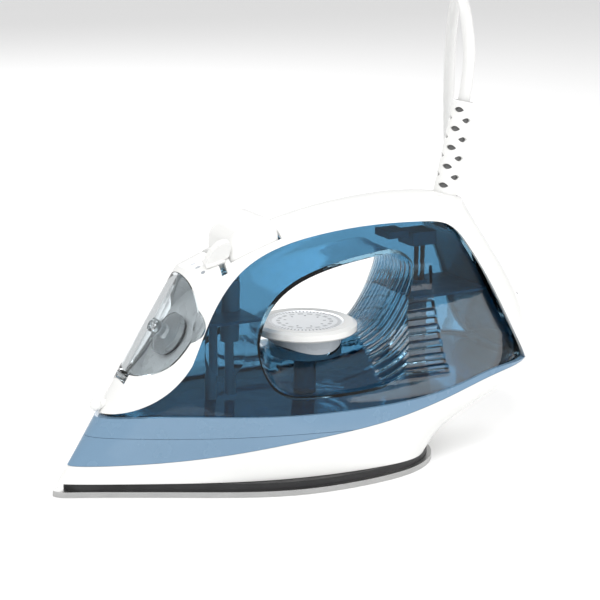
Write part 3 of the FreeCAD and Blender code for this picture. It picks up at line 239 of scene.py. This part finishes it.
class Finish:
    """One material, built node by node."""

    def __init__(self, name, colour, roughness, **constants):
        self.material = bpy.data.materials.new(name)
        self.material.use_nodes = True
        self.tree = self.material.node_tree
        self.tree.nodes.clear()
        values = {"Base Color": (*colour, 1.0), "Roughness": roughness}
        values.update({key.replace("_", " "): value for key, value in constants.items()})
        self.shader = self.node("ShaderNodeBsdfPrincipled", {}, values)
        self.node("ShaderNodeOutputMaterial", {}, {"Surface": self.shader.outputs[0]})
        coordinate = self.node("ShaderNodeTexCoord", {}, {})
        self.place = coordinate.outputs["Object"]
        split = self.node("ShaderNodeSeparateXYZ", {}, {"Vector": self.place})
        self.x, self.y, self.z = (Shade(self, out) for out in split.outputs)

    def node(self, kind, settings, values):
        """Adds a node: first its settings, then the values or links of its inputs."""
        node = self.tree.nodes.new(kind)
        for key, value in settings.items():
            setattr(node, key, value)
        for key, value in values.items():
            socket = node.inputs[key]
            if isinstance(value, Shade):
                value = value.socket
            if isinstance(value, bpy.types.NodeSocket):
                self.tree.links.new(value, socket)
            else:
                socket.default_value = value
        return node

    def noise(self, size, detail=3.0, stretch=(1.0, 1.0, 1.0)):
        """Noise from 0 to 1 with lumps of a size in metres, stretched along the axes."""
        mapping = self.node("ShaderNodeMapping", {}, {"Vector": self.place, "Scale": stretch})
        node = self.node("ShaderNodeTexNoise", {}, {
            "Vector": mapping.outputs[0], "Scale": 1.0 / size, "Detail": detail})
        return Shade(self, node.outputs[0])

    def blend(self, factor, first, second):
        """A colour between two colours."""
        node = self.node("ShaderNodeMix", {"data_type": "RGBA"}, {0: factor})
        for index, value in ((6, first), (7, second)):
            if isinstance(value, bpy.types.NodeSocket):
                self.tree.links.new(value, node.inputs[index])
            else:
                node.inputs[index].default_value = (*value, 1.0)
        return node.outputs[2]

    def drive(self, name, value):
        """Feeds one of the shader's sockets."""
        socket = value.socket if isinstance(value, Shade) else value
        self.tree.links.new(socket, self.shader.inputs[name])

    def relief(self, height, depth):
        """A bump of a depth in metres from a height between 0 and 1."""
        node = self.node("ShaderNodeBump", {}, {"Height": height, "Distance": depth,
                                                "Strength": 1.0})
        self.drive("Normal", node.outputs[0])

    def put_on(self, *names):
        """Gives the finish to CAD nodes or pieces."""
        for name in names:
            piece = NODES[name] if isinstance(name, str) else name
            piece.data.materials.clear()
            piece.data.materials.append(self.material)


def scaled(colour, factor):
    """A colour made lighter or darker."""
    return tuple(min(1.0, part * factor) for part in colour)


def moulded(name, colour, roughness, grain=0.0006, depth=0.000004, **constants):
    """Moulded plastic: faint flow mottling, uneven gloss and the tool's fine grain."""
    finish = Finish(name, colour, roughness, **constants)
    flow = finish.noise(0.045, 4.0)
    finish.drive("Base Color", finish.blend(flow, scaled(colour, 0.955), scaled(colour, 1.03)))
    handled = finish.noise(0.012, 5.0).above(0.52, 0.30)
    finish.drive("Roughness", handled * (0.35 * roughness) + 0.85 * roughness)
    finish.relief(finish.noise(grain, 2.0) + 2.0 * finish.noise(0.006, 2.0), depth)
    return finish


def metal(name, colour, roughness, stretch=(1.0, 1.0, 1.0), grain=0.0004, depth=0.000004):
    """Metal with a directional grain, slightly uneven in brightness."""
    finish = Finish(name, colour, roughness, Metallic=1.0)
    lines = finish.noise(grain, 3.0, stretch)
    patches = finish.noise(0.02, 4.0)
    finish.drive("Base Color", finish.blend(patches, scaled(colour, 0.86), scaled(colour, 1.12)))
    finish.drive("Roughness", lines * (0.5 * roughness) + 0.75 * roughness)
    finish.relief(lines, depth)
    return finish


# ------------------------------------------------------------------------------- meshes
def grid_mesh(name, points, wrap_rows=False, wrap_columns=False):
    """A mesh over a grid of points; rows and columns may close on themselves."""
    rows, columns = points.shape[:2]
    i = np.arange(rows if wrap_rows else rows - 1)
    j = np.arange(columns if wrap_columns else columns - 1)
    a, b = np.meshgrid(i, j, indexing="ij")
    c, d = (a + 1) % rows, (b + 1) % columns
    quads = np.stack([a * columns + b, c * columns + b, c * columns + d, a * columns + d], -1)
    mesh = bpy.data.meshes.new(name)
    mesh.from_pydata(points.reshape(-1, 3), [], quads.reshape(-1, 4).tolist())
    mesh.update()
    return mesh


def add_piece(name, mesh, body):
    """Makes a mesh a piece that rides on a body."""
    piece = bpy.data.objects.new(name, mesh)
    bpy.context.scene.collection.objects.link(piece)
    mesh.shade_smooth()
    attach(piece, body)
    return piece


def sleeve_points(depth, pitch):
    """The slotted sleeve.

    A closed outline (radius, height) is turned about the leaning axis.  On its outside the
    radius falls by depth inside lens-shaped slots: six columns round the sleeve, every other
    one half a pitch higher, each slot 2.7 mm high in its middle and 56 degrees wide.
    """
    foot, tip, bore = SLEEVE_FOOT_RADIUS, SLEEVE_TIP_RADIUS, SLEEVE_BORE_RADIUS
    outside = np.linspace(SLEEVE_FOOT, SLEEVE_TOP - 0.0006, 340)
    share = (outside - outside[0]) / (outside[-1] - outside[0])
    radius = foot + (tip - foot) * share
    heights = np.concatenate([outside, [SLEEVE_TOP - 0.0002, SLEEVE_TOP, SLEEVE_TOP],
                              [SLEEVE_TOP - 0.001, SLEEVE_FOOT]])
    radii = np.concatenate([radius, [tip - 0.0002, tip - 0.0007, bore + 0.0004], [bore, bore]])
    turns = np.linspace(0, 2 * np.pi, 180, endpoint=False)
    column = np.round((np.degrees(turns) + 143.0) / 60.0)
    from_column = np.radians(np.degrees(turns) + 143.0 - 60.0 * column)
    shift = np.where(column % 2 == 0, 0.0024, 0.0024 + pitch / 2)
    along = heights[:, None] - CROWN - shift[None, :]
    step = np.round(along / pitch)
    from_slot = along - step * pitch
    inside = (step >= 0) & (heights[:, None] < SLEEVE_TOP - 0.003)
    width = np.clip(1 - (from_column / np.radians(29.0)) ** 2, 0, 1)[None, :]
    lens = np.clip((0.00145 * width - np.abs(from_slot)) / 0.0003 + 0.5, 0, 1)
    cut = depth * lens * inside * (width > 0.02)
    cut[len(outside):] = 0
    reach = radii[:, None] - cut
    axis, across = np.array(SLEEVE_AXIS), np.array(SLEEVE_ACROSS)
    beside = np.array((0.0, 1.0, 0.0))
    ring = np.cos(turns)[:, None] * across + np.sin(turns)[:, None] * beside
    return np.array(SWIVEL) + heights[:, None, None] * axis + reach[:, :, None] * ring


def helix_points(centre, low, high, radius, wire, turns):
    """A coil spring: a circle of the wire's radius carried along a helix about Z.

    The helix closes up to a flat turn at each end, so height follows a smooth step of the angle.
    """
    t = np.linspace(0, 1, int(turns * 40))
    rise = np.clip((t - 0.12) / 0.76, 0, 1)
    z = low + wire + (high - low - 2 * wire) * rise
    angle = 2 * np.pi * (turns + 1.6) * t
    path = np.stack([centre.x + radius * np.cos(angle), centre.y + radius * np.sin(angle), z], -1)
    ahead = np.gradient(path, axis=0)
    ahead /= np.linalg.norm(ahead, axis=1)[:, None]
    out = np.stack([np.cos(angle), np.sin(angle), np.zeros_like(angle)], -1)
    side = np.cross(ahead, out)
    u = np.linspace(0, 2 * np.pi, 10, endpoint=False)
    ring = np.cos(u)[None, :, None] * out[:, None] + np.sin(u)[None, :, None] * side[:, None]
    tube = path[:, None] + wire * ring
    ends = [np.repeat(path[:1, None], 10, 1), np.repeat(path[-1:, None], 10, 1)]
    return np.concatenate([ends[0], tube, ends[1]])


def welded(mesh):
    """Merges doubled points and turns all faces outwards."""
    work = bmesh.new()
    work.from_mesh(mesh)
    bmesh.ops.remove_doubles(work, verts=work.verts, dist=1e-6)
    bmesh.ops.recalc_face_normals(work, faces=work.faces)
    work.to_mesh(mesh)
    work.free()
    return mesh


# ---------------------------------------------------------------------------- operators
class IRON_OT_cord(Operator):
    """Mains cord from the sleeve to its coil and plug, as one smooth line."""
    bl_idname = "iron.cord"
    bl_label = "Cord"

    def execute(self, context):
        sizes = context.scene.iron_cord
        thick = sizes.thickness
        tip = SWIVEL + SLEEVE_AXIS * SLEEVE_TOP
        start = tip - SLEEVE_AXIS * CORD_HIDDEN
        points = [tuple(start), tuple(tip + SLEEVE_AXIS * CORD_STRAIGHT), *CORD_ROUTE]
        count = sizes.columns * sizes.layers
        for k in range(1, count * COIL_POINTS + 1):
            turn = k / COIL_POINTS
            low = min(int(turn), count - 1)
            high = min(low + 1, count - 1)
            share = min(max((turn - low - (1 - COIL_CROSSING)) / COIL_CROSSING, 0.0), 1.0)
            column = COIL_COLUMNS[low] + (COIL_COLUMNS[high] - COIL_COLUMNS[low]) * share
            level = COIL_LEVELS[low] + (COIL_LEVELS[high] - COIL_LEVELS[low]) * share
            radius = sizes.coil_radius + column * thick
            angle = -math.pi / 2 - 2 * math.pi * turn
            points.append((COIL_MIDDLE.x + radius * math.cos(angle),
                           COIL_MIDDLE.y + radius * math.sin(angle), level * thick))
        points += CORD_TAIL
        curve = bpy.data.curves.new("mains_lead", "CURVE")
        curve.dimensions = "3D"
        curve.bevel_depth = thick / 2
        curve.bevel_resolution = 4
        curve.use_fill_caps = True
        curve.resolution_u = 6
        spline = curve.splines.new("NURBS")
        spline.points.add(len(points) - 1)
        spline.points.foreach_set("co", np.array([(*p, 1.0) for p in points]).ravel())
        spline.order_u = 3
        spline.use_endpoint_u = True
        piece = bpy.data.objects.new("mains_lead", curve)
        context.scene.collection.objects.link(piece)
        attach(piece, "housing")
        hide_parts("mains_cord", "cord_coil")
        finish = moulded("cord_jacket", tuple(sizes.jacket), 0.42, 0.0005, 0.00001)
        finish.put_on(piece)
        return {"FINISHED"}


class IRON_OT_sleeve(Operator):
    """Slotted sleeve that keeps the cord from kinking, with painted shade in its slots."""
    bl_idname = "iron.sleeve"
    bl_label = "Cord sleeve"

    def execute(self, context):
        sizes = context.scene.iron_details
        points = sleeve_points(sizes.slot_depth, sizes.slot_pitch)
        mesh = welded(grid_mesh("kink_sleeve", points, wrap_rows=True, wrap_columns=True))
        piece = add_piece("kink_sleeve", mesh, "cord_swivel")
        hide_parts("cord_sleeve")
        colour = tuple(context.scene.iron_shells.white)
        finish = moulded("sleeve_plastic", colour, 0.34)
        out = finish.node("ShaderNodeVectorMath", {"operation": "SUBTRACT"},
                          {0: finish.place, 1: tuple(SWIVEL)}).outputs[0]
        along = finish.node("ShaderNodeVectorMath", {"operation": "DOT_PRODUCT"},
                            {0: out, 1: tuple(SLEEVE_AXIS)}).outputs["Value"]
        whole = finish.node("ShaderNodeVectorMath", {"operation": "LENGTH"},
                            {0: out}).outputs["Value"]
        along, whole = Shade(finish, along), Shade(finish, whole)
        radius = (whole * whole - along * along).most(0.0).root()
        taper = (SLEEVE_FOOT_RADIUS - SLEEVE_TIP_RADIUS) / (SLEEVE_TOP - SLEEVE_FOOT)
        outer = SLEEVE_FOOT_RADIUS - (along - SLEEVE_FOOT) * taper
        # Painted shade: the sunk floors of the slots are painted near-black to stand in for the
        # shade inside them.
        slot_shade = (outer - radius).above(0.0009, 0.0010)
        base = finish.blend(slot_shade, colour, (0.13, 0.13, 0.13))
        finish.drive("Base Color", base)
        finish.put_on(piece)
        return {"FINISHED"}


class IRON_OT_spring(Operator):
    """Return spring under the spray button."""
    bl_idname = "iron.spring"
    bl_label = "Return spring"

    def execute(self, context):
        low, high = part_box("return_spring")
        turns = context.scene.iron_details.spring_turns
        centre = middle("return_spring")
        points = helix_points(centre, low[2], high[2], 0.0046, 0.0004, turns)
        mesh = welded(grid_mesh("coil_spring", points, wrap_columns=True))
        piece = add_piece("coil_spring", mesh, "housing")
        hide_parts("return_spring")
        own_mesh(piece)
        metal("spring_steel", tuple(context.scene.iron_metals.steel), 0.25).put_on(piece)
        return {"FINISHED"}


class IRON_OT_shells(Operator):
    """White shells and the blue band."""
    bl_idname = "iron.shells"
    bl_label = "Shells"

    def execute(self, context):
        shells = context.scene.iron_shells
        white = tuple(shells.white)
        gloss = shells.gloss
        finish = moulded("white_shell", white, gloss, Coat_Weight=0.25, Coat_Roughness=0.06)
        steam_marks(finish, white)
        finish.put_on("handle_shell")
        plain = moulded("white_plain", white, gloss, Coat_Weight=0.25, Coat_Roughness=0.06)
        plain.put_on("skirt", "rear_cover", "spray_button", "steam_lever", "spray_nozzle")
        moulded("plug_plastic", scaled(white, 0.92), 0.34, 0.0004, 0.00001).put_on("plug_body")
        blue = tuple(shells.blue)
        band = moulded("blue_shell", blue, 0.24, Coat_Weight=0.35, Coat_Roughness=0.08)
        band.put_on("lower_band", "upper_band")
        return {"FINISHED"}


def steam_marks(finish, white):
    """Four small generic marks in an arc ahead of the lever: drops that grow towards one side."""
    base = finish.shader.inputs["Base Color"].links[0].from_socket
    mask = None
    for k in range(4):
        x, y = -0.0205 - 0.0007 * k, -0.0135 + 0.0052 * k
        size = 0.0008 + 0.00022 * k
        across = (finish.y - y) / size
        along = (finish.x - x) / (1.6 * size)
        away = (across * across + along * along).root()
        drop = away.below(1.0, 0.3)
        mask = drop if mask is None else mask.most(drop)
    mask = mask * finish.z.above(0.112, 0.002)
    finish.drive("Base Color", finish.blend(mask, base, (0.30, 0.33, 0.36)))


class IRON_OT_tank(Operator):
    """Clear tinted tank with ribs behind the dial, filling door and stopper."""
    bl_idname = "iron.tank"
    bl_label = "Tank"

    def execute(self, context):
        shells = context.scene.iron_shells
        tint = tuple(shells.tank)
        tank = Finish("tank_plastic", tint, 0.03, Transmission_Weight=1.0, IOR=1.40)
        flow = tank.noise(0.05, 3.0)
        tank.drive("Base Color", tank.blend(flow, scaled(tint, 0.95), scaled(tint, 1.04)))
        pitch = context.scene.iron_details.rib_pitch
        wave = abs((abs(tank.y) % pitch) / pitch - 0.5) * 2.0
        steps = wave.above(0.55, 0.5)
        behind = tank.x.above(0.079, 0.004) * tank.x.below(0.122, 0.003)
        region = behind * tank.z.above(0.052, 0.004) * tank.z.below(0.112, 0.006)
        tank.relief(steps * region * 30.0 + tank.noise(0.004, 2.0), 0.00003)
        tank.put_on("water_tank")
        clear = tuple(shells.window)
        door = Finish("clear_plastic", clear, 0.03, Transmission_Weight=1.0, IOR=1.42)
        door.relief(door.noise(0.003, 2.0), 0.00001)
        door.put_on("filling_door")
        stopper = Finish("stopper_plastic", scaled(clear, 0.8), 0.15, Transmission_Weight=0.7,
                         IOR=1.42)
        stopper.relief(stopper.noise(0.001, 2.0), 0.00002)
        stopper.put_on("filler_stopper")
        return {"FINISHED"}


class IRON_OT_dial(Operator):
    """Temperature dial with tick marks and dots, silver insert and collar."""
    bl_idname = "iron.dial"
    bl_label = "Dial"

    def execute(self, context):
        silver = tuple(context.scene.iron_metals.silver)
        white = tuple(context.scene.iron_shells.white)
        centre = middle("dial_disc")
        rim = moulded("dial_white", scaled(white, 0.97), 0.2, Coat_Weight=0.2)
        rim.put_on("dial_disc")
        face = Finish("dial_silver", silver, 0.34, Metallic=0.75)
        x, y = face.x - centre.x, face.y - centre.y
        radius = (x * x + y * y).root()
        angle = Shade(face, face.node("ShaderNodeMath", {"operation": "ARCTAN2"},
                                      {0: y, 1: x}).outputs[0])
        ring = face.node("ShaderNodeCombineXYZ", {}, {0: radius * 2600.0, 1: angle * 2.0})
        grain = face.node("ShaderNodeTexNoise", {}, {"Vector": ring.outputs[0], "Scale": 1.0})
        grain = Shade(face, grain.outputs[0])
        ticks = abs((angle * (30 / math.pi)) % 1.0 - 0.5).below(0.16, 0.08)
        ticks = ticks * radius.above(0.0188, 0.0003) * radius.below(0.0212, 0.0003)
        words = abs((angle * (9 / math.pi)) % 1.0 - 0.5).below(0.30, 0.06)
        words = words * radius.above(0.0142, 0.0003) * radius.below(0.0163, 0.0003)
        dots = abs((angle * (4.5 / math.pi)) % 1.0 - 0.5).below(0.07, 0.04)
        dots = dots * abs(radius - 0.0115).below(0.0008, 0.0003)
        marks = ticks.most(words * (0.55 * grain + 0.25)).most(dots)
        bright = face.blend(grain, scaled(silver, 0.88), scaled(silver, 1.1))
        face.drive("Base Color", face.blend(marks, bright, (0.10, 0.11, 0.13)))
        face.drive("Roughness", grain * 0.14 + 0.26)
        face.relief(grain, 0.000006)
        face.put_on("dial_cap")
        collar = moulded("collar_grey", (0.42, 0.46, 0.50), 0.3)
        collar.put_on("dial_collar")
        return {"FINISHED"}


class IRON_OT_metals(Operator):
    """Soleplate, heater, pins and screws."""
    bl_idname = "iron.metals"
    bl_label = "Metals"

    def execute(self, context):
        metals = context.scene.iron_metals
        sole = metal("sole_metal", tuple(metals.sole), 0.30, (0.12, 1.0, 1.0), 0.0005)
        sole.put_on("soleplate")
        casting = metal("casting", (0.60, 0.61, 0.62), 0.5, grain=0.0012, depth=0.00004)
        casting.put_on("heater_casting")
        steel = metal("steel", tuple(metals.steel), 0.28, (1.0, 1.0, 0.15))
        steel.put_on("steam_chamber_cover", "heating_element", "lever_pin", "door_pin",
                     "cover_screw", "sole_screws", "steam_needle")
        brass = metal("brass_part", (0.72, 0.56, 0.28), 0.22, (0.1, 1.0, 1.0))
        brass.put_on("plug_pins", "thermostat")
        return {"FINISHED"}


class IRON_OT_inside(Operator):
    """Plastic and rubber pieces inside the housing."""
    bl_idname = "iron.inside"
    bl_label = "Inside"

    def execute(self, context):
        black = moulded("black_plastic", (0.012, 0.012, 0.013), 0.45, 0.0005, 0.00002)
        black.put_on("heat_shield", "swivel_socket")
        deep = moulded("deep_blue", (0.10, 0.17, 0.23), 0.4, 0.0006, 0.00001)
        deep.put_on("front_baffle", "rear_baffle", "wire_duct", "spindle_tube", "terminal_block",
                    "cord_clamp")
        floor = moulded("tank_floor", (0.30, 0.44, 0.56), 0.3, 0.0006, 0.00001)
        floor.put_on("base_plate")
        grey = moulded("grey_plastic", (0.30, 0.36, 0.41), 0.35, 0.0006, 0.00001)
        grey.put_on("pump_cylinder", "pump_plunger", "suction_tube", "needle_guide",
                    "dial_spindle", "swivel_ball")
        bowl = moulded("bowl_white", (0.70, 0.72, 0.73), 0.3, 0.0006, 0.00001)
        bowl.put_on("filling_throat")
        rubber = moulded("rubber_part", (0.02, 0.022, 0.025), 0.6, 0.0004, 0.00002)
        rubber.put_on("filler_seal", "spray_hose")
        lead = moulded("lead_jacket", (0.34, 0.07, 0.03), 0.4, 0.0004, 0.00001)
        lead.put_on("mains_leads", "thermal_fuse")
        return {"FINISHED"}


class IRON_OT_studio(Operator):
    """Pale floor, soft lights and the camera."""
    bl_idname = "iron.studio"
    bl_label = "Studio"

    def execute(self, context):
        studio = context.scene.iron_studio
        reach = np.linspace(-3.0, 3.0, 13)
        x, y = np.meshgrid(reach, reach, indexing="ij")
        mesh = grid_mesh("floor", np.stack([x, y, np.zeros_like(x)], -1))
        floor = bpy.data.objects.new("floor", mesh)
        context.scene.collection.objects.link(floor)
        ground = Finish("floor_paper", tuple(studio.floor), 0.8)
        ground.drive("Base Color", ground.blend(ground.noise(0.3, 2.0), tuple(studio.floor),
                                                scaled(tuple(studio.floor), 1.01)))
        ground.put_on(floor)
        world = bpy.data.worlds.new("surround")
        context.scene.world = world
        world.use_nodes = True
        backdrop = world.node_tree.nodes["Background"]
        backdrop.inputs["Color"].default_value = (1.0, 1.0, 1.0, 1.0)
        backdrop.inputs["Strength"].default_value = studio.surround
        context.scene.view_settings.view_transform = "Standard"
        for name, place, width, share in LIGHTS:
            light = bpy.data.lights.new(name, "AREA")
            light.shape = "DISK"
            light.size = width
            light.energy = studio.key * share
            lamp = bpy.data.objects.new(name, light)
            lamp.location = place
            towards = LAMP_AIM - Vector(place)
            lamp.rotation_euler = towards.to_track_quat("-Z", "Y").to_euler()
            context.scene.collection.objects.link(lamp)
        lens = bpy.data.cameras.new("camera")
        lens.lens = LENS
        lens.sensor_width = SENSOR
        lens.shift_x, lens.shift_y = SHIFT
        camera = bpy.data.objects.new("camera", lens)
        level = math.cos(studio.elevation) * studio.distance
        camera.location = AIM + Vector((math.sin(studio.azimuth) * level,
                                        -math.cos(studio.azimuth) * level,
                                        math.sin(studio.elevation) * studio.distance))
        camera.rotation_euler = (AIM - camera.location).to_track_quat("-Z", "Y").to_euler()
        context.scene.collection.objects.link(camera)
        context.scene.camera = camera
        return {"FINISHED"}


class IRON_PT_panel(Panel):
    """Lists the iron's pieces and their sizes."""
    bl_idname = "IRON_PT_panel"
    bl_label = "Steam Iron"
    bl_space_type = "VIEW_3D"
    bl_region_type = "UI"
    bl_category = "Iron"

    def draw(self, context):
        for group in GROUPS:
            values = getattr(context.scene, GROUPS[group])
            box = self.layout.box()
            box.label(text=group.__doc__)
            for name in group.__annotations__:
                box.prop(values, name)
        for operator in OPERATORS:
            self.layout.operator(operator.bl_idname)


GROUPS = {IronShells: "iron_shells", IronMetals: "iron_metals", IronCord: "iron_cord",
          IronDetails: "iron_details", IronStudio: "iron_studio"}
OPERATORS = (IRON_OT_studio, IRON_OT_cord, IRON_OT_shells, IRON_OT_tank, IRON_OT_dial,
             IRON_OT_metals, IRON_OT_inside, IRON_OT_sleeve, IRON_OT_spring)


def register():
    for group, name in GROUPS.items():
        bpy.utils.register_class(group)
        setattr(bpy.types.Scene, name, PointerProperty(type=group))
    for entry in (*OPERATORS, IRON_PT_panel):
        bpy.utils.register_class(entry)


def unregister():
    for entry in (IRON_PT_panel, *reversed(OPERATORS)):
        bpy.utils.unregister_class(entry)
    for group, name in reversed(GROUPS.items()):
        delattr(bpy.types.Scene, name)
        bpy.utils.unregister_class(group)


def main():
    register()
    for operator in OPERATORS:
        family, name = operator.bl_idname.split(".")
        getattr(getattr(bpy.ops, family), name)()
    bpy.context.view_layer.update()


if __name__ == "__main__":
    main()
